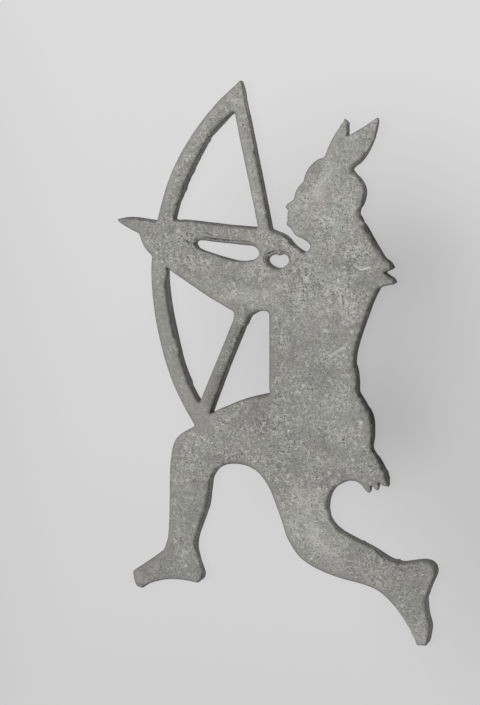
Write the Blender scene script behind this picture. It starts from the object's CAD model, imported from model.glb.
import math
import random

import bpy
import numpy as np
from mathutils import Matrix, Vector, geometry, kdtree, noise


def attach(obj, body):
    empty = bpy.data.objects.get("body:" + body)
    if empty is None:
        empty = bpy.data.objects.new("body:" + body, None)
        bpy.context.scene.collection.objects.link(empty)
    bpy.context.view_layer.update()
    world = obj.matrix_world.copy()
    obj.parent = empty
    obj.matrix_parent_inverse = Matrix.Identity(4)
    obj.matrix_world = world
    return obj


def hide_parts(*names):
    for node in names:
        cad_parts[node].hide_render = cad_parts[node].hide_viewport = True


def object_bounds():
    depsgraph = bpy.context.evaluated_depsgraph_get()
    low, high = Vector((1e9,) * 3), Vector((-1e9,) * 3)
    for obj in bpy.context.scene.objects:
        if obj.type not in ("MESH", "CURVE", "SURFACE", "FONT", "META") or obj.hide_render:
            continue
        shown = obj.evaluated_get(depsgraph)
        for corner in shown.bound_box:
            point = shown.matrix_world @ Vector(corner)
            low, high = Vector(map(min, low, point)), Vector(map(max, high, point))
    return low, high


# The looks of a bronze archer: one flat casting with a sawn and filed outline and a granular,
# patinated surface. The solid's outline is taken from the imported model, and the worn skin is made
# over it. Work is in millimetres until the mesh is made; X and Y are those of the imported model.

NODE = "archer_figure"
SEED = 7
THICK = 10.0
MM = 1000.0  # in a metre

# outline
SLICE_AT = 5.0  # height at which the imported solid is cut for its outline
LEAST_GAP = 0.02  # points of the cut that lie closer together are one
FLAT_ANGLE = 0.3  # degrees; a point with a slighter bend is dropped
CORNER_ANGLE = 28.0  # degrees; a sharper bend stays a corner
OUTLINE_STEP = 0.85
WORN_ANGLE = 12  # degrees; a sharper bend is rounded a little
WORN_SHARE = 0.45  # how far its points move towards their neighbours in a round
WORN_ROUNDS = 2
WOBBLE = 0.10  # how far the hand-cut edge strays
BURR_CORE = 0.2  # the part of a burr's radius that has its full height
SUB = 4  # points per outline step that distances are measured from

# walls
SEEN_WAY = (0.92, 0.39)  # the way a wall faces, in plan, when the camera sees most of it
TAPER = 0.2  # how far the back's edge lies inside the front's on the walls that face that way
TAPER_FROM = 0.35  # how far a wall has to face that way for all of it
LEAN_ROUNDS = 3  # of smoothing along the edge
TIP_CORE = 0.3  # the part of a tip's reach that moves as a whole
WALL_LEVELS = 8
WALL_CURVE = 1.5  # above 1, the wall slopes most near its top
SAW_DEPTH, SAW_FINE_DEPTH, SAW_INSET = 0.13, 0.10, 0.05
SAW_STRETCH = (1, 1, 0.25)  # the fine marks run down the wall

# skin
RINGS = (0.12, 0.4, 0.85, 1.5, 2.3)  # distances from the edge that carry vertices, front
BACK_RINGS = (0.3, 1.0, 2.4)
RING_GAP = 0.32  # least gap between the points of a ring
RING_GAP_SHARE = 0.5  # and where that is more, this share of its distance
RING_FULL = 0.3  # a ring this near the edge keeps all its points
RING_CROWDED = 0.94  # a point is dropped where an edge is nearer than this share of its distance
GRID_FRONT = 0.80
GRID_BACK = 2.0
GRID_STARTS = 2.9
GRID_JITTER = 0.16  # of the spacing
ROW_HEIGHT = 0.866  # of the spacing, in a triangular grid
MARK_OFFSETS = (-0.7, -0.35, 0, 0.35, 0.7)  # rows of vertices along a thin mark
MARK_STEP = 0.45
MARK_STARTS = 0.3  # from the edge
BOX_MARGIN = 0.02  # kept free inside the solid's box

# Smooth noises: the largest wavelength in mm, the octaves and the seed.
GRAINS = {
    "radius": (22.0, 2, 1),
    "crown": (30.0, 1, 2),
    "lumps": (5.5, 2, 3),
    "small lumps": (2.2, 2, 4),
    "back radius": (22.0, 2, 5),
    "back": (9.0, 3, 6),
    "saw": (3.6, 2, 8),
    "fine saw": (1.9, 1, 9),
    "stray": (6.0, 2, 11),
    "ragged": (2.2, 2, 12),
    "broad tone": (38.0, 2, 21),
    "small tone": (13.0, 2, 22),
    "broken": (3.6, 2, 23),
    "spill": (2.4, 2, 24),
}
GRAIN_ROUGH, GRAIN_STEP = 0.9, 2.1  # how quickly the octaves fade, and how much finer each is
SEED_SHIFT = (17.3, -9.1, 4.7)  # how far a seed moves a noise along x, y and z
ZONE_REACH, ZONE_SOFT = 1.6, 2.2  # how far beside a line an amount holds, and fades

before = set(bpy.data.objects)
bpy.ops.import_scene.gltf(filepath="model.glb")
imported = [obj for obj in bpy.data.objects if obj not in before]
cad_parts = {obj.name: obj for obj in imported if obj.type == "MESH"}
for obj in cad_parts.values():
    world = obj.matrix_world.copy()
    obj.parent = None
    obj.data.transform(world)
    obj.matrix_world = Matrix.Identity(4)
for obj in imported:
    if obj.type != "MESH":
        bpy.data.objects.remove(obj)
cad_low, cad_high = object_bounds()

scene = bpy.context.scene
scene.view_settings.view_transform = "Standard"


# The camera, at the photo's viewing angle.
AIM = Vector((-0.021291, 0.004282, 0.010))
EYE = Vector((0.417861, 0.207647, 1.216561))
LENS = 110.64
SENSOR = 36.0
CLIP = (0.05, 20.0)

camera = bpy.data.objects.new("camera", bpy.data.cameras.new("camera"))
scene.collection.objects.link(camera)
camera.data.lens = LENS
camera.data.sensor_width = SENSOR
camera.data.sensor_fit = "AUTO"
camera.data.clip_start, camera.data.clip_end = CLIP
look = (AIM - EYE).normalized()
right = look.cross(Vector((0, 1, 0))).normalized()
up = right.cross(look)
turn = Matrix((right, up, -look)).transposed()
camera.matrix_world = Matrix.Translation(EYE) @ turn.to_4x4()
scene.camera = camera


# The outline of the solid.
def outline_loops(mesh, height):
    """A mesh's closed outlines at a height: the outer one anticlockwise, holes clockwise."""
    co = np.array([v.co for v in mesh.vertices]) * MM
    places, same = np.unique(np.round(co, 4), axis=0, return_inverse=True)
    same = same.ravel()
    mesh.calc_loop_triangles()
    links, points = {}, {}
    for tri in mesh.loop_triangles:
        ids = [int(same[v]) for v in tri.vertices]
        crossed = []
        for a, b in zip(ids, ids[1:] + ids[:1]):
            a, b = min(a, b), max(a, b)
            za, zb = places[a][2] - height, places[b][2] - height
            if (za < 0) != (zb < 0):
                points[a, b] = (places[a] + (places[b] - places[a]) * za / (za - zb))[:2]
                crossed.append((a, b))
        if len(crossed) == 2:
            links.setdefault(crossed[0], []).append(crossed[1])
            links.setdefault(crossed[1], []).append(crossed[0])
    loops, left = [], set(links)
    for start in sorted(links):
        if start not in left:
            continue
        loop, here = [], start
        while here in left:
            left.discard(here)
            loop.append(points[here])
            here = next((n for n in links[here] if n in left), None)
        loops.append(np.array(loop))
    loops.sort(key=lambda loop: -abs(signed_area(loop)))
    return [
        loop if (signed_area(loop) > 0) == (i == 0) else loop[::-1]
        for i, loop in enumerate(loops)
    ]


def signed_area(loop):
    x, y = loop[:, 0], loop[:, 1]
    return 0.5 * float(np.sum(x * np.roll(y, -1) - np.roll(x, -1) * y))


def bends(loop):
    before = loop - np.roll(loop, 1, 0)
    after = np.roll(loop, -1, 0) - loop
    cross = before[:, 0] * after[:, 1] - before[:, 1] * after[:, 0]
    return np.degrees(np.arctan2(cross, (before * after).sum(1)))


def smooth_stretch(knots, step):
    """Points at even steps along a smooth curve through the knots, without its last point."""
    t = np.concatenate([[0], np.cumsum(np.linalg.norm(np.diff(knots, axis=0), axis=1))])
    if len(knots) == 2:
        slope = np.repeat((knots[1:] - knots[:1]) / t[-1], 2, 0)
    else:
        slope = np.gradient(knots, t, axis=0)
    count = max(1, round(t[-1] / step))
    s = np.linspace(0, t[-1], count + 1)[:-1]
    i = np.clip(np.searchsorted(t, s, "right") - 1, 0, len(t) - 2)
    h = (t[i + 1] - t[i])[:, None]
    u = ((s - t[i]) / h[:, 0])[:, None]
    return (
        (2 * u**3 - 3 * u**2 + 1) * knots[i]
        + (u**3 - 2 * u**2 + u) * h * slope[i]
        + (3 * u**2 - 2 * u**3) * knots[i + 1]
        + (u**3 - u**2) * h * slope[i + 1]
    )


def resampled(loop, step):
    """The loop without its facets: corners stay, and what lies between them is smooth."""
    gap = np.linalg.norm(loop - np.roll(loop, 1, 0), axis=1)
    loop = loop[gap > LEAST_GAP]
    while True:
        flat = np.flatnonzero(np.abs(bends(loop)) < FLAT_ANGLE)
        if not len(flat):
            break
        # of points that follow each other only the first goes, because that changes the next bend
        flat = flat[np.concatenate([[True], np.diff(flat) > 1])]
        loop = np.delete(loop, flat, 0)
    corners = np.flatnonzero(np.abs(bends(loop)) > CORNER_ANGLE)
    if not len(corners):
        corners = np.array([0])
    loop = np.roll(loop, -corners[0], 0)
    corners = np.append(corners - corners[0], len(loop))
    closed = np.vstack([loop, loop[:1]])
    return np.vstack(
        [smooth_stretch(closed[a : b + 1], step) for a, b in zip(corners, corners[1:])]
    )


def normals(loop):
    along = np.roll(loop, -1, 0) - np.roll(loop, 1, 0)
    out = np.stack([along[:, 1], -along[:, 0]], 1)
    return out / np.maximum(np.linalg.norm(out, axis=1, keepdims=True), 1e-9)


def worn(loop):
    """Rounds the corners a little and lets the edge stray as a saw and a file leave it."""
    sharp = np.abs(bends(loop)) > WORN_ANGLE
    near = sharp | np.roll(sharp, 1) | np.roll(sharp, -1)
    for _ in range(WORN_ROUNDS):
        middle = (np.roll(loop, 1, 0) + np.roll(loop, -1, 0)) / 2
        moved = loop * (1 - WORN_SHARE) + middle * WORN_SHARE
        loop = np.where(near[:, None], moved, loop)
    flat = np.column_stack([loop, np.zeros(len(loop))])
    stray = WOBBLE * grain(flat, "stray") + zoned(loop, RAGGED) * grain(flat, "ragged")
    for x, y, radius, height in BURRS:
        stray += height * near_spot(loop, *at(x, y), radius * BURR_CORE, radius)
    out = normals(loop)
    stray -= TAPER * tapered(out)
    return loop + out * stray[:, None]


def grain(points, name):
    """One of the smooth noises, of about -1 to 1, at each point."""
    size, octaves, seed = GRAINS[name]
    shift = Vector([seed * step for step in SEED_SHIFT])
    return np.array(
        [
            noise.fractal(Vector(p) / size + shift, GRAIN_ROUGH, GRAIN_STEP, octaves)
            for p in points.tolist()
        ]
    )


# The skin over it.
random.seed(SEED)
rng = np.random.default_rng(SEED)


class Outline:
    """The figure's closed edges at one level, with the metal always on their left."""

    def __init__(self, loops):
        self.loops = loops
        self.edge = np.vstack(loops)
        self.out = np.vstack([normals(loop) for loop in loops])
        follows, first = [], 0
        for loop in loops:
            follows.append(first + (np.arange(len(loop)) + 1) % len(loop))
            first += len(loop)
        self.next = np.concatenate(follows)
        step, swing = self.edge[self.next] - self.edge, self.out[self.next] - self.out
        dense = np.vstack([self.edge + step * k / SUB for k in range(SUB)])
        self.dense_out = np.vstack([self.out + swing * k / SUB for k in range(SUB)])
        self.tree = kdtree.KDTree(len(dense))
        for i, (x, y) in enumerate(dense):
            self.tree.insert((x, y, 0), i)
        self.tree.balance()

    def nearest(self, points):
        """For each point, its distance to the edge in plan and the way that edge faces."""
        found = [self.tree.find((x, y, 0)) for x, y in points]
        return np.array([f[2] for f in found]), self.dense_out[[f[1] for f in found]]

    def rings(self, offsets):
        """Rows of points that follow the edge at each offset inside it."""
        kept, cells = [], set()
        for offset in offsets:
            moved = self.edge - self.out * offset
            distance, _ = self.nearest(moved)
            cell = max(RING_GAP, RING_GAP_SHARE * offset)
            for x, y in moved[distance > RING_CROWDED * offset]:
                key = (offset, round(x / cell), round(y / cell))
                if offset > RING_FULL and key in cells:
                    continue
                cells.add(key)
                kept.append((x, y))
        return np.array(kept)

    def grid(self, spacing, starts):
        """A jittered triangular grid inside the edges, from a distance on."""
        a, b = self.edge, self.edge[self.next]
        rows = []
        levels = np.arange(a[:, 1].min(), a[:, 1].max(), spacing * ROW_HEIGHT)
        for r, y in enumerate(levels):
            cross = (a[:, 1] <= y) != (b[:, 1] <= y)
            share = (y - a[cross, 1]) / (b[cross, 1] - a[cross, 1])
            xs = np.sort(a[cross, 0] + share * (b[cross, 0] - a[cross, 0]))
            for x0, x1 in zip(xs[::2], xs[1::2]):
                first = math.ceil(x0 / spacing) * spacing + (r % 2) * spacing / 2
                x = np.arange(first, x1, spacing)
                rows.append(np.column_stack([x, np.full(len(x), y)]))
        points = np.vstack(rows)
        distance, _ = self.nearest(points)
        points = points[distance > starts]
        return points + rng.uniform(-GRID_JITTER, GRID_JITTER, points.shape) * spacing

    def inside(self, points):
        """Whether each point is in the metal, by counting the edges crossed on the way out."""
        crossed = np.zeros(len(points), int)
        for (ax, ay), (bx, by) in zip(self.edge, self.edge[self.next]):
            spans = (ay <= points[:, 1]) != (by <= points[:, 1])
            if spans.any():
                x = ax + (points[spans, 1] - ay) / (by - ay) * (bx - ax)
                crossed[spans] += points[spans, 0] < x
        return crossed % 2 == 1

    def sheet(self, points):
        """Triangles over the edge's own points, which come first, and the points inside it."""
        places = [Vector(p) for p in np.vstack([self.edge, points])]
        sides = [(i, int(n)) for i, n in enumerate(self.next)]
        made, _, faces, origin, _, _ = geometry.delaunay_2d_cdt(places, sides, [], 2, 1e-6)
        order = np.array([o[0] if o else -1 for o in origin])
        assert order.min() >= 0, "the outline crosses itself"
        co = np.zeros((len(places), 2))
        co[order] = np.array([tuple(v) for v in made])
        used = np.array([[order[v] for v in f] for f in faces])
        spans_edge = (used < len(self.edge)).all(1)
        keep = np.ones(len(used), bool)
        keep[spans_edge] = self.inside(co[used[spans_edge]].mean(1))
        used = used[keep]
        ab, ac = co[used[:, 1]] - co[used[:, 0]], co[used[:, 2]] - co[used[:, 0]]
        clockwise = ab[:, 0] * ac[:, 1] - ab[:, 1] * ac[:, 0] < 0
        used[clockwise] = used[clockwise][:, ::-1]
        return co, used


def ease(t):
    t = np.clip(t, 0, 1)
    return t * t * (3 - 2 * t)


def near_spot(xy, x, y, radius, soft):
    """1 inside a round patch, fading to 0 over soft mm."""
    return 1 - ease((np.hypot(xy[:, 0] - x, xy[:, 1] - y) - radius) / soft)


def near_line(xy, a, b, radius, soft):
    """1 within a radius of a line, fading to 0 over soft mm."""
    a, b = np.array(a), np.array(b)
    along = b - a
    t = np.clip((xy - a) @ along / (along @ along), 0, 1)
    gap = np.linalg.norm(xy - (a + t[:, None] * along), axis=1)
    return 1 - ease((gap - radius) / soft)


def near_path(xy, points, radius, soft):
    """The same along a line of several stretches."""
    stretches = zip(points, points[1:])
    return np.max([near_line(xy, at(*a), at(*b), radius, soft) for a, b in stretches], axis=0)


def spotted(values, xy, spots, join):
    """Values with the amounts of round patches joined to them one by one."""
    for x, y, radius, soft, amount in spots:
        values = join(values, amount * near_spot(xy, *at(x, y), radius, soft))
    return values


def zoned(xy, zones, reach=ZONE_REACH, soft=ZONE_SOFT):
    """The sum of amounts given along lines; each fades out beyond its line."""
    total = np.zeros(len(xy))
    for a, b, amount in zones:
        total += amount * near_line(xy, at(*a), at(*b), reach, soft)
    return total


def path_points(points):
    """Rows of points along a line and beside it, so that the mesh can follow a thin mark."""
    rows = []
    for a, b in zip(points, points[1:]):
        a, b = np.array(at(*a)), np.array(at(*b))
        length = float(np.hypot(*(b - a)))
        along = (b - a) / length
        side = np.array([-along[1], along[0]])
        t = np.arange(0, length, MARK_STEP)[:, None]
        rows += [a + along * t + side * offset for offset in MARK_OFFSETS]
    return np.vstack(rows)


def round_over(distance, radius):
    """How far a rounded edge has dropped at a distance from the wall."""
    inside = np.clip(radius - distance, 0, None)
    return radius - np.sqrt(np.clip(radius**2 - inside**2, 0, None))


def right_up(facing):
    """-1 to 1: how much an edge faces the way in which its wall is seen, right and a little up."""
    return facing @ np.array(SEEN_WAY)


def tapered(facing):
    """0 to 1: how much of the taper a wall has."""
    return ease(right_up(facing) / TAPER_FROM)


def wall_seen(facing):
    """0 on the edges that face left and down, 1 on those whose wall is seen."""
    return ease((right_up(facing) - SEEN_FROM) / SEEN_SOFT)


def hole_border(xy):
    return near_spot(xy, *at(*HOLE), HOLE_REACH, HOLE_SOFT)


def leaned(loop, out):
    """The front's outline, which stands a little proud of the back's where the wall slopes."""
    amount = (zoned(loop, LEAN) + TAPER) * tapered(out)
    for _ in range(LEAN_ROUNDS):
        amount = (np.roll(amount, 1) + 2 * amount + np.roll(amount, -1)) / 4
    moved = loop + out * amount[:, None]
    for x, y, reach, dx, dy in TIPS:
        share = near_spot(loop, *at(x, y), reach * TIP_CORE, reach * (1 - TIP_CORE))
        moved += share[:, None] * (dx, dy)
    return moved


def front_height(xy, distance, facing):
    flat = np.column_stack([xy, np.full(len(xy), THICK)])
    seen = wall_seen(facing)
    radius = LEFT_RADIUS + (RIGHT_RADIUS - LEFT_RADIUS) * seen
    radius = radius * (1 + RADIUS_VARIES * grain(flat, "radius"))
    radius = radius + zoned(xy, WIDE) - zoned(xy, CRISP)
    drop = round_over(distance, np.clip(radius, *RADIUS_LIMITS))
    # the casting is gently crowned along the edges that face left and down
    crown = (1 - seen) * (CROWN + CROWN_VARIES * grain(flat, "crown"))
    drop += crown * np.clip(1 - distance / CROWN_WIDTH, 0, 1) ** 2
    # wider filed slopes
    for a, b, width, depth in FILED:
        on = near_line(xy, at(*a), at(*b), FILED_REACH, FILED_SOFT)
        drop += on * depth * np.clip(1 - distance / width, 0, 1)
    # corroded skin
    lump = LUMPS * grain(flat, "lumps") + SMALL_LUMPS * grain(flat, "small lumps")
    calm = smoothness(xy, distance, facing)
    drop += (lump + LUMPS_SUNK) * (1 - LUMPS_CALMED * calm) * ease(distance / LUMPS_START)
    drop += pit_depth(xy, PITS)
    for points, half, depth, _ in GROOVES:
        drop += depth * near_path(xy, points, half, GROOVE_SOFT)
    sink = np.clip(1 - distance / SINK_WIDTH, 0, 1) ** SINK_CURVE
    drop += hole_border(xy) * SINK_DEPTH * sink
    return THICK - np.clip(drop, 0.0, MOST_DROP)


def back_height(xy, distance):
    flat = np.column_stack([xy, np.zeros(len(xy))])
    radius = BACK_RADIUS + RADIUS_VARIES * grain(flat, "back radius")
    rise = round_over(distance, np.clip(radius, *BACK_RADIUS_LIMITS))
    uneven = np.clip(BACK_RISE + BACK_VARIES * grain(flat, "back"), 0, MOST_BACK_RISE)
    rise += uneven * ease(distance / BACK_START)
    return rise + zoned(xy, THIN, THIN_REACH, THIN_SOFT)


def smoothness(xy, distance, facing):
    """1 where the metal is worn smooth: left and lower borders, the lower bow, the feet."""
    left_down = ease((CALM_FROM - right_up(facing)) / CALM_WAY_SOFT)
    calm = left_down * (1 - ease((distance - CALM_WIDTH) / CALM_SOFT))
    calm = spotted(calm, xy, CALM, np.maximum)
    return spotted(calm, xy, ROUGH, np.subtract)


def pit_depth(xy, pits):
    depth = np.zeros(len(xy))
    for x, y, radius, deep in pits:
        close = np.flatnonzero((np.abs(xy[:, 0] - x) < radius) & (np.abs(xy[:, 1] - y) < radius))
        if len(close):
            away = np.hypot(xy[close, 0] - x, xy[close, 1] - y) / radius
            depth[close] = np.maximum(depth[close], deep * (1 - ease(away)))
    return depth


# Places below are in the drawing's own millimetres, which at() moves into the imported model's.
OFFSET = np.array([2.5187, -0.4689])


def at(x, y):
    return (x + OFFSET[0], y + OFFSET[1])


# rounded edges: the radius on the left, and on the right where the walls are seen
LEFT_RADIUS, RIGHT_RADIUS = 1.1, 1.7
SEEN_FROM, SEEN_SOFT = -0.2, 0.6
RADIUS_VARIES = 0.25
RADIUS_LIMITS = (0.3, 3.2)
BACK_RADIUS = 0.95
BACK_RADIUS_LIMITS = (0.6, 1.4)
# the crown along the edges that face left and down
CROWN, CROWN_VARIES, CROWN_WIDTH = 0.32, 0.15, 4.2
FILED_REACH, FILED_SOFT = 2.2, 1.2
# the corroded skin's lumps, and how much smaller they are where it is worn smooth
LUMPS, SMALL_LUMPS, LUMPS_SUNK = 0.10, 0.07, 0.05
LUMPS_CALMED, LUMPS_START = 0.75, 1.5
CALM_FROM, CALM_WAY_SOFT = 0.1, 0.6
CALM_WIDTH, CALM_SOFT = 2.0, 2.5
GROOVE_SOFT = 0.4
MOST_DROP = 4.0
# the back's unevenness, which starts a little inside its edge
BACK_RISE, BACK_VARIES, MOST_BACK_RISE, BACK_START = 0.08, 0.12, 0.4, 2
# the hole under the drawing hand, with its sunk border
HOLE = (0.0, 61.0)
HOLE_REACH, HOLE_SOFT = 9.5, 0.4
SINK_WIDTH, SINK_DEPTH, SINK_CURVE = 2.0, 0.3, 0.8

# Walls that slope: along a line, how far the front's edge stands proud.
LEAN = [
    # feathers
    ((41.0, 135.0), (41.3, 140.0), 0.8),
    ((55.0, 129.0), (57.0, 134.0), 1.0),
    ((57.8, 136.5), (58.6, 142.0), 1.3),
    # hair, neck, shoulder and sleeve
    ((52.2, 104.0), (48.0, 112.0), 1.0),
    ((50.6, 95.2), (49.3, 92.5), 1.05),
    ((49.0, 89.6), (51.0, 86.5), 1.6),
    ((57.0, 76.5), (61.2, 69.3), 0.6),
    ((62.8, 66.8), (67.1, 62.7), 1.1),
    ((66.0, 55.0), (70.0, 52.5), 0.5),
    # hand at the string
    ((12.0, 67.9), (14.6, 66.3), 0.9),
    # upper string
    ((-6.2, 81.5), (-14.6, 121.0), 0.8),
    ((-16.1, 128.5), (-21.2, 149.5), 1.1),
    ((-22.4, 154.5), (-23.3, 158.0), 0.7),
    # lower side of the slot, and the hole
    ((-54.0, 68.6), (-52.5, 67.2), 0.6),
    ((-50.5, 66.0), (-41.0, 62.6), 0.7),
    ((-38.0, 61.6), (-24.0, 59.0), 0.4),
    ((-8.5, 62.5), (-7.8, 60.5), 0.7),
    ((-6.5, 58.3), (-5.5, 57.5), 0.3),
    # lower bow
    ((-59.6, -11.8), (-64.2, 2.5), 0.8),
    ((-65.0, 5.4), (-65.7, 8.3), 1.2),
    ((-72.2, 49.0), (-72.1, 52.7), 1.2),
    # front heel
    ((-50.1, -132.5), (-53.7, -121.0), 1.8),
    # rear leg and the hollow of its knee
    ((60.5, -110.4), (41.3, -102.0), 0.9),
    ((34.5, -97.0), (31.3, -89.5), 1.5),
    # seat and small of the back
    ((61.2, -53.6), (59.6, -51.1), 0.8),
    ((48.6, -5.7), (47.1, 3.0), 0.8),
]
# Tips whose front stands off from their back: place, reach and how far the front is moved.
TIPS = [
    (-25.4, 166.4, 7.0, 1.0, 0.4),
    (-25.4, 166.4, 18.0, 0.8, 0.0),
    (39.2, 144.6, 4.0, 1.4, 0.8),
    (58.9, 146.0, 4.0, 1.4, 0.4),
    (67.6, -71.2, 2.6, 1.5, 0.8),
]
# Edges that are rounded more widely, and how much.
WIDE = [
    ((-49.0, -101.0), (-44.0, -88.0), 1.2),
    ((45.0, 116.0), (48.0, 119.0), 1.2),
    ((-42.0, 136.0), (-36.0, 142.0), 0.9),
    ((-64.0, 90.0), (-61.0, 99.0), 1.0),
    ((-18.5, 25.5), (-15.5, 28.0), 1.2),
    ((-10.0, -20.5), (-6.0, -20.5), 1.8),
]
# Edges that are crisper.
CRISP = [
    ((-4.0, 65.5), (6.0, 63.0), 0.9),
    ((-52.0, 68.0), (-20.0, 57.5), 1.0),
    ((55.0, 129.0), (59.1, 145.0), 1.0),
    ((41.0, 136.0), (41.3, 141.0), 1.0),
    ((-16.1, 128.5), (-25.1, 166.4), 0.8),
    ((56.0, -74.0), (66.0, -70.0), 1.0),
]
# Slopes left by a file: along a line, how wide and how deep.
FILED = [
    ((50, 90), (66, 63), 2.6, 0.9),
    ((-54, 73), (-16, 70.5), 2.4, 0.9),
    ((-4, 66), (5, 66), 2.2, 0.9),
    ((-8, 58), (-9, 66), 2.2, 0.9),
    ((-20, -64), (-34, -64), 1.8, 0.5),
]
# Parts worn smooth: place, radius, softness and how much.
CALM = [
    (-78, 20, 14, 8, 1.0),
    (-75, 46, 8, 5, 0.8),
    (-68, -20, 16, 8, 1.0),
    (-50, -34, 8, 6, 0.8),
    (-86, -138, 16, 14, 0.55),
    (92, -135, 16, 12, 0.2),
    (-14, 120, 10, 6, 0.3),
    (52, 138, 7, 5, 0.5),
    (18, 2, 26, 12, 0.3),
    (30, -36, 14, 12, 0.18),
    (-30, 56, 14, 10, 0.3),
    (-58, -95, 14, 12, 0.3),
]
# The same for parts whose skin is more corroded than the rest.
ROUGH = [
    (24, 60, 18, 12, 0.45),
    (33, 82, 8, 8, 0.5),
    (-70, 72, 8, 8, 0.3),
    (14, -80, 8, 8, 0.25),
    (26, -106, 10, 10, 0.3),
    (80, -128, 10, 10, 0.2),
]
# Walls that lie in deeper shade or, below zero, in less.
SHADED_REACH, SHADED_SOFT = 3.0, 6.0
SHADED = [
    ((66.0, -70.0), (61.0, -54.0), 0.85),
    ((61.0, -54.0), (58.0, -30.0), 1.0),
    ((58.0, -30.0), (54.0, -20.0), 0.85),
    ((53.0, -18.0), (47.0, -3.0), 0.85),
    ((47.0, 6.0), (51.0, 21.0), 0.8),
    ((52.0, 24.0), (56.0, 35.0), 0.3),
    ((57.0, 38.0), (62.0, 48.0), 0.5),
    ((67.0, 62.0), (58.0, 75.0), 1.4),
    ((56.0, 78.0), (50.0, 87.0), 0.75),
    ((49.0, 90.0), (52.0, 101.0), 1.5),
    ((-43.0, -30.0), (-34.0, -8.0), -0.2),
    ((-32.0, -4.0), (-24.0, 16.0), -0.25),
    ((-56.5, -18.5), (-52.5, -25.0), -0.3),
    ((-49.5, -138.5), (-50.5, -131.0), -0.3),
    ((-49.5, -101.0), (-45.0, -89.0), -0.55),
    ((-43.0, -74.0), (-40.0, -69.0), -0.8),
    ((-66.0, 5.0), (-60.0, -12.0), 0.3),
    ((-71.0, 33.0), (-72.0, 52.0), -1.3),
    ((-7.0, 80.0), (-9.0, 90.0), 0.9),
    ((-11.0, 107.0), (-14.0, 119.0), 0.3),
    ((-15.5, 125.0), (-21.0, 149.0), -0.2),
    ((-22.0, 153.0), (-25.0, 166.0), -1.2),
    ((-65.0, 84.0), (-62.5, 95.0), -0.4),
    ((-53.0, 118.0), (-46.0, 130.0), -0.3),
    ((-44.5, 132.5), (-34.0, 144.0), -1.5),
    ((8.0, 71.0), (-3.0, 78.0), -1.6),
    ((-46.0, 72.5), (-18.0, 71.0), -0.5),
    ((-53.5, 68.5), (-50.0, 66.0), -0.5),
    ((-49.0, 65.5), (-40.0, 62.0), -0.9),
    ((-1.0, 54.5), (-4.0, 55.5), -0.8),
    ((41.0, 143.0), (41.0, 134.0), -1.4),
    ((54.0, 104.0), (47.0, 114.0), -1.3),
    ((50.0, 121.0), (54.0, 128.0), -0.25),
    ((55.0, 130.0), (59.0, 146.0), -0.95),
    ((95.5, -157.0), (93.5, -143.0), -0.6),
    ((93.5, -142.0), (94.0, -133.0), -0.7),
    ((81.0, -116.0), (66.0, -113.0), -0.3),
]
# Thin lines cut in the front: the points, half the width, the depth and how dark it is inside.
GROOVES = [
    ([(-45.5, 73.0), (-41.6, 72.6), (-37.8, 72.5), (-32.7, 72.1)], 0.2, 0.35, 0.85),
    ([(-32.7, 72.1), (-27.6, 71.9), (-22.5, 71.8), (-17.5, 71.3)], 0.2, 0.3, 0.7),
    ([(-45.8, 76.4), (-43.8, 75.4), (-41.9, 74.3)], 0.2, 0.2, 0.4),
    ([(-41.9, 74.3), (-35.2, 73.9), (-28.9, 73.5), (-23.8, 72.8)], 0.1, 0.15, 0.35),
    ([(-56.0, 75.4), (-53.6, 74.2), (-51.6, 73.6)], 0.2, 0.2, 0.4),
    ([(-60.8, 73.4), (-59.5, 71.5), (-57.1, 70.0), (-53.9, 69.4)], 0.3, 0.3, 0.6),
    ([(33.0, 7.0), (37.0, 10.2), (40.5, 12.4)], 0.1, 0.1, 0.0),
    ([(42.9, 62.3), (45.9, 62.7), (48.4, 61.8)], 0.3, 0.1, 0.3),
    ([(47.2, 58.9), (49.0, 57.3), (51.6, 56.6), (54.5, 57.4)], 0.1, 0.1, 0.4),
    ([(48.8, 60.2), (51.2, 59.6), (53.8, 60.1), (57.6, 60.3)], 0.0, 0.1, 0.25),
    ([(47.5, 60.0), (49.0, 58.8), (51.4, 58.1), (53.9, 58.7), (56.6, 59.5)], 0.3, 0.35, 0.0),
    ([(-9.0, 61.0), (-9.1, 62.4), (-8.4, 63.8), (-6.9, 64.8)], 0.1, 0.25, 0.7),
    ([(-6.9, 64.6), (-4.9, 65.8), (-1.8, 66.6), (1.4, 66.9)], 0.25, 0.35, 0.95),
    ([(1.4, 66.9), (3.9, 66.4), (6.1, 65.0), (7.6, 62.7)], 0.1, 0.25, 0.7),
    ([(7.6, 62.7), (7.8, 60.0), (6.1, 57.6)], 0.05, 0.15, 0.35),
    ([(40.2, 41.8), (40.6, 39.5), (40.9, 36.6)], 0.1, 0.15, 0.45),
    ([(41.0, -44.4), (41.8, -44.1)], 0.25, 0.25, 0.55),
    ([(-1.8, -40.8), (-1.1, -40.5)], 0.25, 0.25, 0.55),
    ([(28.6, -43.8), (29.3, -43.5)], 0.25, 0.25, 0.55),
    ([(45.3, -59.7), (46.1, -59.5)], 0.25, 0.25, 0.55),
    ([(7.0, -46.8), (7.8, -46.5)], 0.25, 0.25, 0.55),
    ([(5.4, -44.4), (6.2, -44.1)], 0.25, 0.25, 0.55),
]
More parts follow.
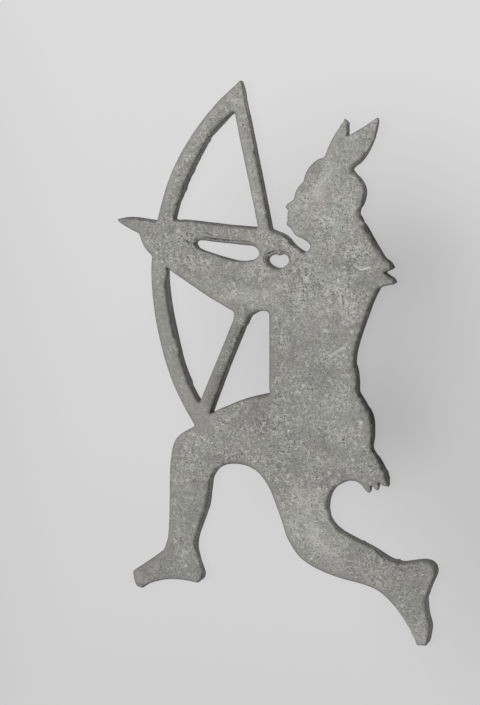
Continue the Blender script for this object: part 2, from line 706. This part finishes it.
# Pale thin lines: the points, half the width and how pale.
PALE_LINES = [
    ([(-64.6, 76.6), (-62.8, 76.8)], 0.7, 0.3),
    ([(-62.8, 76.8), (-60.4, 74.4), (-59.0, 72.4)], 0.3, 0.34),
    ([(33.0, 5.7), (35.0, 7.0), (38.1, 9.4), (41.4, 11.2)], 0.35, 0.48),
    ([(47.3, 60.3), (49.5, 58.9), (51.2, 57.9)], 0.35, 0.7),
    ([(51.2, 57.9), (53.9, 58.5), (56.4, 59.5)], 0.35, 0.75),
    ([(49.5, 59.1), (51.4, 59.5), (56.0, 59.6)], 0.1, 0.5),
    ([(38.7, 40.5), (39.1, 37.4)], 0.7, 0.38),
    ([(41.9, 39.8), (43.6, 37.2)], 0.7, 0.36),
    ([(-26.0, 154.6), (-23.0, 154.9), (-20.6, 153.8)], 1.2, 0.22),
    ([(75.0, -143.1), (81.3, -151.6), (86.8, -161.1)], 0.2, 0.3),
]
# Small pale specks: place, radius and how pale.
SPECKS = [
    (52.2, -33.0, 1.1, 0.65),
    (25.7, -56.3, 1.1, 0.45),
    (32.6, -57.0, 0.9, 0.35),
    (38.9, -65.7, 0.9, 0.45),
    (32.7, -64.9, 1.1, 0.35),
    (6.9, -69.1, 0.9, 0.45),
    (0.2, -71.6, 0.9, 0.35),
    (18.7, -67.2, 1.1, 0.45),
    (44.4, -56.2, 0.9, 0.35),
    (47.6, -63.0, 0.9, 0.45),
    (49.2, -47.8, 1.1, 0.35),
    (-48.1, -57.2, 0.9, 0.45),
    (-59.6, -73.6, 0.9, 0.35),
    (-58.0, -76.0, 1.1, 0.45),
    (-67.0, -91.5, 0.9, 0.35),
    (-60.6, -100.4, 0.9, 0.45),
    (-58.1, -121.5, 1.1, 0.35),
    (-59.2, -130.2, 0.9, 0.45),
    (-57.4, -134.9, 0.9, 0.35),
    (18.4, -98.5, 1.1, 0.45),
    (23.5, -0.8, 0.9, 0.35),
    (46.8, 27.0, 1.1, 0.50),
    (46.3, 21.3, 1.1, 0.40),
    (40.4, 26.1, 1.1, 0.40),
    (31.4, 33.1, 1.1, 0.40),
    (29.6, 20.8, 1.1, 0.45),
    (42.8, 25.3, 1.1, 0.30),
]
# Where the plate is thinner, cut away from behind: a line and the depth.
THIN_REACH, THIN_SOFT = 1.5, 3.5
THIN = [
    ((56.5, -76.0), (62.5, -73.5), 6.0),
    ((45.4, 116.5), (46.0, 114.5), 3.0),
    ((-66.0, 84.0), (-62.7, 97.0), 2.4),
    ((-51.9, -25.7), (-55.5, -19.5), 2.0),
    ((48.8, 91.0), (50.5, 87.0), 1.8),
    ((59.6, -51.0), (58.5, -48.0), 1.8),
    ((51.0, -17.0), (54.0, -22.5), 1.5),
    ((-19.6, 23.1), (-18.3, 25.8), 2.0),
]
# Stretches of the outline that are hacked or broken, and how far they stray.
RAGGED = [
    ((88.0, -165.5), (95.0, -165.0), 0.45),
    ((-58.0, 106.0), (-41.0, 136.0), 0.22),
    ((-56.0, 68.5), (-50.0, 66.0), 0.35),
    ((30.0, -84.0), (60.0, -110.0), 0.12),
    ((40.0, 144.0), (41.3, 136.0), 0.3),
]
# Small burrs that stand out of the edge: place, radius and height.
BURRS = [
    (0.4, 64.7, 1.0, 0.6),
    (4.6, 65.4, 1.2, 0.5),
    (6.4, 61.3, 3.0, -0.5),
    (-49.3, 64.4, 2.5, -0.2),
    (37.8, 141.3, 4.0, -0.4),
    (-51.5, 65.3, 2.6, -0.4),
    (-46.0, 63.0, 3.5, -0.1),
    (-53.0, 67.2, 3.0, -0.65),
    (-6.6, 58.6, 2.5, -0.3),
    (-7.6, 61.6, 3.0, -0.3),
    (49.2, 90.8, 3.0, -0.4),
    (-61.5, 98.5, 5.0, 0.7),
    (-38.0, 139.8, 8.0, 0.4),
    (-47.0, 63.8, 5.0, 0.3),
    (67.9, -71.4, 1.1, 0.6),
    (66.5, -63.3, 1.1, 0.35),
    (67.4, -67.2, 1.0, 0.3),
    (40.9, 142.4, 1.0, 0.4),
    (52.9, -106.3, 1.2, 0.6),
    (74.3, -116.0, 1.6, 0.6),
    (-45.4, 129.5, 1.6, 0.5),
    (-54.9, 111.4, 2.2, 0.6),
]
# Lighter and, below zero, darker parts of the patina: place, radius, softness and how much.
# An amount of 1 is about 7 grey levels of 255.
TONES = [
    (33, 97, 12, 12, 1.1),
    (38, 127, 8, 10, 0.7),
    (53, 139, 4, 6, -0.8),
    (44, 129, 4, 5, 0.4),
    (33.5, 104, 2, 4, -0.7),
    (22, -95, 14, 14, 1.4),
    (-86, -138, 16, 16, -0.9),
    (-67, 107, 8, 8, 0.5),
    (-65, -2, 8, 8, -0.4),
    (-75, 36, 8, 8, -0.2),
    (-72, 73, 8, 8, 0.4),
    (30, -106, 6, 8, 0.4),
    (90, -135, 18, 16, -0.1),
    (10, -20, 24, 30, -0.4),
    (30, -40, 16, 14, 0.7),
    (-78, 20, 14, 10, -0.3),
    (-36, 76, 18, 8, -0.5),
    (15, 65, 25, 20, 0.9),
    (-12, 106, 12, 14, 0.9),
    (-20, 140, 12, 14, 0.9),
    # chest and sleeve
    (43, 33, 3, 5, 0.8),
    (18, 20, 4, 5, 0.6),
    (34, 47, 2, 5, 0.8),
    (23, 46, 3, 5, -0.8),
    (47, 61, 3, 5, -1.0),
    (9, 36, 3, 5, -0.7),
    # waist and skirt
    (25, -8, 5, 6, -0.7),
    (43, -22, 4, 5, 0.8),
    (30, -46, 5, 6, -0.7),
    (-12, -38, 4, 6, -1.0),
    (28, -68, 3, 5, -0.6),
    # legs
    (-58, -52, 3, 5, 0.6),
    (-58, -65, 2, 5, 0.6),
    (-61, -83, 3, 6, 0.8),
    (-52, -74, 2, 4, -0.6),
    (-93, -140, 2, 4, 0.5),
    (89, -158, 3, 6, 1.4),
    (91.4, -162.2, 2, 3, 1.2),
    (48, -108, 3, 5, 0.4),
]
# The same along lines.
STREAK_REACH, STREAK_SOFT = 1.6, 4.5
STREAKS = [
    ((33, 117), (25, 100), 0.8),
    ((24, 121), (14, 103), -0.7),
    ((-26, 39), (-6, 40), 1.4),
    ((-32, 50), (-15, 47), -0.9),
    ((-42, 136), (-34, 144), -0.7),
    ((-3, 30), (-3, -6), -0.6),
    ((-34.0, -31.5), (-8.0, -21.5), -0.2),
    ((-27, 18), (-44, -26), -1.3),
    ((-36, -62), (-26, -62), -1.1),
    ((12, -78), (20, -95), 0.8),
    ((20, -95), (23, -106), 0.8),
    ((27, -110), (36, -117), 1.3),
    ((36, -117), (40, -122), 1.1),
    ((64, -115), (86, -118), -0.8),
]
# And along narrower ones.
FINE_STREAK_REACH, FINE_STREAK_SOFT = 0.8, 3.0
FINE_STREAKS = [
    ((33.0, 117.5), (24.0, 101.5), 1.3),
    ((59.5, 144.5), (58.0, 141.5), 0.9),
]
# Patches of pale crust: place, radius, softness and how thick.
CRUST = [
    (-16, -48, 7, 5, 1.0),
    (-52, -55, 5, 4, 0.8),
    (-59.6, -74, 3, 3, 0.9),
    (-58, -87, 3, 3, 0.7),
    (-63, -98, 3, 3, 0.7),
    (-59, -129, 1.5, 3, 0.9),
    (90.5, -162.5, 2.5, 2, 1.2),
    (21, -105, 3, 3, 1.0),
    (15, -90, 5, 5, 0.9),
    (36.8, -116, 9, 5, 1.0),
    (55.6, -123.6, 3, 3, 0.7),
    (24, -94, 4, 4, 0.9),
    (50, -60, 5, 5, 0.9),
    (72, -124, 3, 4, 0.6),
    (27.5, 58.4, 5, 5, 1.0),
    (40, 60, 3, 3, 0.8),
    (40.6, 38, 3, 2, 1.3),
    (29.5, 35, 4, 4, 0.9),
    (47, 26, 3, 2, 1.3),
    (8, 22, 5, 4, 0.9),
    (23.5, -4.4, 2, 2, 1.0),
    (3.5, -13, 5, 4, 0.8),
    (31.5, 13.4, 4, 4, 0.6),
    (27, -56, 3, 3, 0.9),
    (16, -75, 5, 5, 0.9),
    (31, -30, 4, 4, 0.6),
    (6, -75, 3, 3, 0.8),
    (50.6, -48, 2, 2, 1.2),
    (-27, 51, 5, 4, 1.0),
    (-13, 40, 6, 3, 1.0),
    (-70, 77, 5, 3, 0.9),
    (-54, 53, 3, 3, 0.6),
    (31, 118, 4, 5, 1.0),
    (28, 101, 4, 6, 1.1),
    (22, 70, 5, 5, 1.0),
    (38.5, 76, 5, 5, 0.9),
    (48, -19, 4, 4, 0.5),
]
# Pits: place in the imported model, radius and depth. The ones after these are strewn at random.
PITS = [
    (*at(20.5, 93), 1.3, 0.35),
    (*at(28, 85), 1.2, 0.35),
    (*at(42, -44.5), 1.5, 0.3),
    (*at(46, -120), 1.4, 0.3),
    (*at(56, -124), 1.2, 0.3),
    (*at(80, -131), 1.1, 0.3),
    (*at(-52, -64), 1.1, 0.3),
]
STREWN_PITS = 520
STREWN = ((-100, 102), (-166, 166), (0.7, 1.4), (0.08, 0.25))  # limits of x, y, radius and depth
for _ in range(STREWN_PITS):
    PITS.append(tuple(random.uniform(*limits) for limits in STREWN))

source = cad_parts[NODE]
lo = np.array(cad_low)[:2] * MM + BOX_MARGIN
hi = np.array(cad_high)[:2] * MM - BOX_MARGIN
back = Outline(
    [
        np.clip(worn(resampled(loop, OUTLINE_STEP)), lo, hi)
        for loop in outline_loops(source.data, SLICE_AT)
    ]
)
front = Outline([np.clip(leaned(loop, normals(loop)), lo, hi) for loop in back.loops])
count = len(back.edge)


def measured(outline, xy):
    """Distance to the edge and the way it faces, where the first points are the edge's own."""
    distance, facing = outline.nearest(xy)
    distance[:count] = 0
    facing[:count] = outline.out
    return distance, facing


marks = np.vstack([path_points(mark[0]) for mark in GROOVES + PALE_LINES])
marks = marks[front.inside(marks) & (front.nearest(marks)[0] > MARK_STARTS)]
inner = np.vstack([front.rings(RINGS), front.grid(GRID_FRONT, GRID_STARTS), marks])
front_xy, front_faces = front.sheet(inner)
front_d, front_facing = measured(front, front_xy)
front_z = front_height(front_xy, front_d, front_facing)

inner = np.vstack([back.rings(BACK_RINGS), back.grid(GRID_BACK, GRID_STARTS)])
back_xy, back_faces = back.sheet(inner)
back_d, back_facing = measured(back, back_xy)
back_z = back_height(back_xy, back_d)

# The walls join the two sheets; "depth" runs from 0 at the front's edge to 1 at the back's.
wall_depths = np.arange(1, WALL_LEVELS) / WALL_LEVELS
levels = []
for t in wall_depths:
    z = front_z[:count] * (1 - t) + back_z[:count] * t
    slope = (1 - t) ** WALL_CURVE
    row = np.column_stack([front.edge * slope + back.edge * (1 - slope), z])
    saw = SAW_DEPTH * grain(row, "saw") + SAW_FINE_DEPTH * grain(row * SAW_STRETCH, "fine saw")
    belly = math.sin(math.pi * t)
    row[:, :2] += back.out * ((saw - SAW_INSET) * belly)[:, None]
    levels.append(row)
front_total, wall_total = len(front_xy), (WALL_LEVELS - 1) * count
co = np.vstack([np.column_stack([front_xy, front_z]), *levels, np.column_stack([back_xy, back_z])])
co[:, :2] = np.clip(co[:, :2], lo, hi)
on_wall = np.repeat(wall_depths, count)
depth = np.concatenate([np.zeros(front_total), on_wall, np.ones(len(back_xy))])
from_rim = np.concatenate([front_d, np.zeros(wall_total), back_d])
faces_out = np.vstack([front_facing, np.tile(back.out, (WALL_LEVELS - 1, 1)), back_facing])


def row_index(k):
    """The edge's points at a level: 0 is the front's, WALL_LEVELS the back's."""
    if k == 0:
        return np.arange(count)
    return front_total + (k - 1) * count + np.arange(count)


walls = []
for k in range(WALL_LEVELS):
    a, b = row_index(k), row_index(k + 1)
    walls.append(np.column_stack([a, b, b[back.next], a[back.next]]))
faces = front_faces.tolist() + np.vstack(walls).tolist()
faces += (back_faces[:, ::-1] + front_total + wall_total).tolist()
mesh = bpy.data.meshes.new("archer")
mesh.from_pydata((co / MM).tolist(), [], faces)
mesh.validate()
mesh.update()
mesh.polygons.foreach_set("use_smooth", np.ones(len(mesh.polygons), bool))
archer = bpy.data.objects.new("archer", mesh)
scene.collection.objects.link(archer)
print("archer:", len(co), "vertices", sum(len(f) - 2 for f in faces), "triangles")


# Masks painted on the mesh's points.
BROAD_TONE, SMALL_TONE = 0.50, 0.30
FRONT_ABOVE, FRONT_SOFT = 6, 2  # height above which a point counts as the front's
# dirt at the front's rim: everywhere, more where the wall is seen and where it lies in shade
RIM_DIRT, RIM_SEEN, RIM_SHADED = 0.16, 0.10, 0.15
RIM_WIDTH, RIM_WIDER = 0.7, 1.1  # and how far it reaches, on the left and more on the right
SPILL_VARIES = 1.6
SPILL_LIMITS = (0.2, 2.2)
# dirt on the walls: everywhere, more in shade and more further down
WALL_DIRT, WALL_SHADED, WALL_DEEPER = 0.135, 0.27, 0.34
WALL_REACHED = 1.2  # how fast it grows down the wall
BACK_DIRT = 0.5
HOLE_RIM_CLEAN, HOLE_WALL_CLEAN = 0.8, 0.4  # how much less of it there is round the hole
BROKEN, BROKEN_VARIES = 0.65, 1.5  # grooves are dark in broken stretches
BROKEN_LIMITS = (0.1, 1.2)
GROOVE_DIRT_SOFT = 0.45
SPECK_CORE = 0.5
PALE_LINE_SOFT = 0.6


def attribute(name, values):
    layer = mesh.attributes.new(name, "FLOAT", "POINT")
    layer.data.foreach_set("value", values.astype(np.float32))


plan = co[:, :2]
on_front = ease((co[:, 2] - FRONT_ABOVE) / FRONT_SOFT)
at_rim, in_wall, at_back = depth == 0, (depth > 0) & (depth < 1), depth == 1

# how light the patina is over large stretches
tone = BROAD_TONE * grain(co, "broad tone") + SMALL_TONE * grain(co, "small tone")
tone = spotted(tone, plan, TONES, np.add)
tone += zoned(plan, STREAKS, STREAK_REACH, STREAK_SOFT)
tone += zoned(plan, FINE_STREAKS, FINE_STREAK_REACH, FINE_STREAK_SOFT)

# dirt and shade that gather on the edges and grow down the walls
seen = wall_seen(faces_out)
shaded = zoned(plan, SHADED, SHADED_REACH, SHADED_SOFT)
rim = RIM_DIRT + RIM_SEEN * seen + RIM_SHADED * shaded
rim *= np.exp(-from_rim / (RIM_WIDTH + RIM_WIDER * seen))
rim *= np.clip(1 + SPILL_VARIES * grain(co, "spill"), *SPILL_LIMITS)
wall = WALL_DIRT + WALL_SHADED * shaded + WALL_DEEPER * ease(depth * WALL_REACHED)
dirt = at_rim * rim + in_wall * wall + at_back * BACK_DIRT
dirt *= 1 - hole_border(plan) * np.where(at_rim, HOLE_RIM_CLEAN, HOLE_WALL_CLEAN)
broken = np.clip(BROKEN + BROKEN_VARIES * grain(co, "broken"), *BROKEN_LIMITS) * on_front
for points, half, _, dark in GROOVES:
    groove = near_path(plan, points, half, GROOVE_DIRT_SOFT)
    dirt = np.maximum(dirt, dark * groove * broken)

bright = np.zeros(len(plan))
for x, y, radius, amount in SPECKS:
    spot = near_spot(plan, *at(x, y), radius * SPECK_CORE, radius)
    bright = np.maximum(bright, amount * spot * on_front)
for points, half, pale in PALE_LINES:
    bright = np.maximum(bright, pale * near_path(plan, points, half, PALE_LINE_SOFT) * on_front)

attribute("crust", spotted(np.zeros(len(plan)), plan, CRUST, np.maximum) * on_front)
attribute("tone", tone)
attribute("calm", smoothness(plan, from_rim, faces_out))
attribute("dirt", np.clip(dirt, 0, 1))
attribute("bright", bright)


# The bronze. Colours are linear, from the darkest to the palest skin.
DARK = (0.092, 0.089, 0.081)
PALE = (0.480, 0.472, 0.446)
DIRT = (0.022, 0.021, 0.019)
BRIGHT = (0.62, 0.61, 0.58)
UNTINTED, GREENISH = (1.0, 1.0, 1.0), (0.97, 1.01, 0.99)
METALLIC = 0.3
SPECULAR = 0.3
ROUGH_DARK, ROUGH_PALE = 0.74, 0.60
BUMP, BUMP_DEPTH = 0.7, 0.00025
# Noises of the skin: wavelength in mm, detail, roughness and distortion.
SKIN = {
    "fine": (1.0, 2.0, 0.6, 0.0),
    "speck": (2.4, 3.0, 0.6, 0.4),
    "blotch": (9.0, 2.0, 0.5, 0.6),
    "patch": (14.0, 2.0, 0.5, 0.3),
    "pale marks": (3.4, 1.0, 0.5, 1.8),
    "dark marks": (4.6, 1.0, 0.5, 1.2),
    "hue": (17.0, 2.0, 0.5, 0.5),
}
PIT_CELLS = 3.4  # mm between the small dark pits
PIT_EDGE, PIT_CORE = 0.2, 0.08  # where one begins and is full, in the cells' own measure
# Short curved marks: half their width in the noise's own measure, and the least of the other
# noise that keeps them.
PALE_MARK, PALE_MARK_LEAST = 0.055, 0.49
DARK_MARK, DARK_MARK_LEAST = 0.035, 0.46
MARK_FADE = 0.08
# How strongly each part makes the skin lighter or darker, and how strongly it raises it.
LIGHT = {
    "fine": 2.9,
    "speck": 1.6,
    "blotch": 1.15,
    "patch": 0.35,
    "pale marks": 1.5,
    "dark marks": 0.45,
    "pits": 0.35,
    "tone": 0.16,
}
RAISED = {"fine": 1.1, "speck": 1.2, "pale marks": 0.35, "pits": 0.6}
# A value's low and high end, and what each gives.
SPANS = {
    "marks in patch": (0.44, 0.60, 0.05, 0.8),
    "grain in blotch": (0.38, 0.62, 0.65, 1.2),
    "grain in patch": (0.4, 0.6, 0.8, 1.15),
    "grain in crust": (0.0, 1.0, 1.0, 0.72),
    "hue": (0.45, 0.7),
}
GRIME = 2.2  # how unevenly the dirt lies
CALMED = 0.6  # how much of the grain is gone where the metal is smooth
CRUST_MARKS = 1.4  # how many more pale marks the crust has


class Nodes:
    """A procedural material, with short ways to make the kinds of node used here."""

    def __init__(self, name):
        self.material = bpy.data.materials.new(name)
        self.material.use_nodes = True
        self.tree = self.material.node_tree
        self.shader = self.tree.nodes["Principled BSDF"]
        self.place = self.node("ShaderNodeTexCoord").outputs["Object"]

    def feed(self, socket, value):
        """Links an output to a socket, or sets the socket to a number or a colour."""
        if isinstance(value, bpy.types.NodeSocket):
            self.tree.links.new(value, socket)
        else:
            socket.default_value = value

    def surface(self, name, value):
        self.feed(self.shader.inputs[name], value)

    def node(self, kind, **values):
        n = self.tree.nodes.new(kind)
        for name, value in values.items():
            self.feed(n.inputs[name.replace("_", " ")], value)
        return n

    def noise(self, size_mm, detail, rough, distort):
        values = {"Scale": MM / size_mm, "Detail": detail}
        values |= {"Roughness": rough, "Distortion": distort}
        return self.node("ShaderNodeTexNoise", Vector=self.place, **values).outputs["Fac"]

    def math(self, operation, a, b=0.0, clamp=False):
        n = self.tree.nodes.new("ShaderNodeMath")
        n.operation, n.use_clamp = operation, clamp
        self.feed(n.inputs[0], a)
        self.feed(n.inputs[1], b)
        return n.outputs[0]

    def plus(self, a, b):
        return self.math("ADD", a, b)

    def minus(self, a, b):
        return self.math("SUBTRACT", a, b)

    def times(self, a, b, clamp=False):
        return self.math("MULTIPLY", a, b, clamp)

    def centred(self, value, gain):
        return self.times(self.minus(value, 0.5), gain)

    def span(self, value, low, high, to_low=0.0, to_high=1.0, curve="LINEAR"):
        values = {"From_Min": low, "From_Max": high, "To_Min": to_low, "To_Max": to_high}
        n = self.node("ShaderNodeMapRange", Value=value, **values)
        n.interpolation_type = curve
        return n.outputs["Result"]

    def blend(self, fac, a, b, blend_type="MIX"):
        n = self.tree.nodes.new("ShaderNodeMix")
        n.data_type, n.blend_type = "RGBA", blend_type
        for name, value in (("Factor", fac), ("A", a), ("B", b)):
            self.feed(n.inputs[name], (*value, 1.0) if isinstance(value, tuple) else value)
        return n.outputs["Result"]


def build_bronze():
    make = Nodes("weathered_bronze")
    plus, minus, times, centred, span = make.plus, make.minus, make.times, make.centred, make.span

    def painted(name):
        n = make.node("ShaderNodeAttribute")
        n.attribute_type = "GEOMETRY"
        n.attribute_name = name
        return n.outputs["Fac"]

    def worms(name, width, where, least):
        """Short curved marks: stretches of a noise's middle contour, kept where another is high."""
        ridge = make.math("ABSOLUTE", minus(make.noise(*SKIN[name]), 0.5))
        return times(span(ridge, width, 0.0), span(where, least, least + MARK_FADE))

    tone, calm, dirt = painted("tone"), painted("calm"), painted("dirt")
    bright, crust = painted("bright"), painted("crust")
    fine, speck, blotch, patch = [
        make.noise(*SKIN[name]) for name in ("fine", "speck", "blotch", "patch")
    ]
    pale_marks = worms("pale marks", PALE_MARK, speck, PALE_MARK_LEAST)
    thick = plus(span(patch, *SPANS["marks in patch"]), times(crust, CRUST_MARKS))
    pale_marks = times(pale_marks, thick)
    dark_marks = worms("dark marks", DARK_MARK, blotch, DARK_MARK_LEAST)
    cells = make.node("ShaderNodeTexVoronoi", Vector=make.place, Scale=MM / PIT_CELLS)
    pits = span(cells.outputs["Distance"], PIT_EDGE, PIT_CORE)
    grainy = minus(1.0, times(calm, CALMED))

    # one number for how light the skin is, built from every scale of grain
    light = plus(centred(fine, LIGHT["fine"]), centred(speck, LIGHT["speck"]))
    uneven = times(span(blotch, *SPANS["grain in blotch"]), span(patch, *SPANS["grain in patch"]))
    light = times(light, times(uneven, span(crust, *SPANS["grain in crust"])))
    light = plus(light, times(pale_marks, LIGHT["pale marks"]))
    light = minus(light, times(dark_marks, LIGHT["dark marks"]))
    light = minus(light, times(pits, LIGHT["pits"]))
    light = plus(light, centred(blotch, LIGHT["blotch"]))
    light = plus(light, centred(patch, LIGHT["patch"]))
    light = plus(times(light, grainy), times(tone, LIGHT["tone"]))
    level = span(light, -1.0, 1.0)

    colour = make.blend(level, DARK, PALE)
    tint = make.blend(span(make.noise(*SKIN["hue"]), *SPANS["hue"]), UNTINTED, GREENISH)
    colour = make.blend(1.0, colour, tint, "MULTIPLY")
    grime = plus(centred(speck, GRIME), centred(fine, GRIME))
    colour = make.blend(times(dirt, plus(1.0, grime), clamp=True), colour, DIRT)
    make.surface("Base Color", make.blend(bright, colour, BRIGHT))
    make.surface("Metallic", METALLIC)
    make.surface("Specular IOR Level", SPECULAR)
    make.surface("Roughness", span(level, 0.0, 1.0, ROUGH_DARK, ROUGH_PALE))

    height = plus(centred(fine, RAISED["fine"]), centred(speck, RAISED["speck"]))
    height = plus(height, times(pale_marks, RAISED["pale marks"]))
    height = times(minus(height, times(pits, RAISED["pits"])), grainy)
    bump = make.node("ShaderNodeBump", Strength=BUMP, Distance=BUMP_DEPTH, Height=height)
    make.surface("Normal", bump.outputs["Normal"])
    return make.material


mesh.materials.append(build_bronze())
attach(archer, "root")
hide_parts(NODE)


# The stage and the light, in metres.
PAPER, PAPER_VARIES = 0.035, 0.002
PAPER_ROUGH, PAPER_SPECULAR = 0.95, 0.1
FIBRE, FIBRE_DETAIL = 3.0, 3.0
PAPER_GLOW = 0.682
PAPER_FALL = 0.130  # how much dimmer the sheet is at its lower end
FALL_ENDS = (-0.22, 0.22)
# Soft spots where the sheet is dimmer: place and reach, and how much.
PAPER_SPOTS = [
    ((0.060, 0.020), (0.155, 0.170), 0.28),
    ((0.065, -0.035), (0.050, 0.050), 0.15),
    ((0.075, 0.064), (0.055, 0.042), 0.09),
    ((0.145, -0.110), (0.110, 0.135), 0.155),
    ((-0.250, 0.000), (0.140, 0.500), 0.10),
]
FLOOR_CORNERS = [(-3, -3, 0), (3, -3, 0), (3, 3, 0), (-3, 3, 0)]
WORLD_LIGHT = 0.05
WHITE = (1, 1, 1, 1)


def stage_material():
    make = Nodes("pale_paper")
    fibre = make.node("ShaderNodeTexNoise", Vector=make.place, Scale=FIBRE, Detail=FIBRE_DETAIL)
    base = make.span(fibre.outputs["Fac"], 0.0, 1.0, PAPER - PAPER_VARIES, PAPER + PAPER_VARIES)

    # the sheet is a little dimmer at its lower end and in a few broad, soft spots
    parts = make.node("ShaderNodeSeparateXYZ", Vector=make.place)
    fall = make.span(parts.outputs["Y"], *FALL_ENDS, 1 - PAPER_FALL, 1.0)
    glow = make.times(fall, PAPER_GLOW)
    for middle, reach, share in PAPER_SPOTS:
        moved = [-a / b for a, b in zip(middle, reach)] + [0]
        scaled = [1 / b for b in reach] + [1]
        spot = make.node("ShaderNodeMapping", Vector=make.place, Location=moved, Scale=scaled)
        ball = make.node("ShaderNodeTexGradient", Vector=spot.outputs["Vector"])
        ball.gradient_type = "SPHERICAL"
        shade = make.span(ball.outputs["Fac"], 0.0, 1.0, 1.0, 1 - share, "SMOOTHSTEP")
        glow = make.times(glow, shade)
    make.surface("Base Color", base)
    make.surface("Emission Strength", glow)
    make.surface("Emission Color", WHITE)
    make.surface("Roughness", PAPER_ROUGH)
    make.surface("Specular IOR Level", PAPER_SPECULAR)
    return make.material


floor_mesh = bpy.data.meshes.new("floor")
floor_mesh.from_pydata(FLOOR_CORNERS, [], [(0, 1, 2, 3)])
floor = bpy.data.objects.new("floor", floor_mesh)
scene.collection.objects.link(floor)
floor.data.materials.append(stage_material())

world = bpy.data.worlds.new("studio")
scene.world = world
world.use_nodes = True
world.node_tree.nodes["Background"].inputs["Color"].default_value = WHITE
world.node_tree.nodes["Background"].inputs["Strength"].default_value = WORLD_LIGHT


def area_light(name, place, size, power):
    """A round soft light that shines on the middle of the sheet."""
    data = bpy.data.lights.new(name, "AREA")
    data.shape = "DISK"
    data.size = size
    data.energy = power
    light = bpy.data.objects.new(name, data)
    light.location = place
    light.rotation_euler = (-Vector(place)).to_track_quat("-Z", "Y").to_euler()
    scene.collection.objects.link(light)


area_light("key", place=(-1.1, 0.5, 3.2), size=2.0, power=90)
area_light("top", place=(0.1, 0.6, 3.2), size=1.2, power=25)
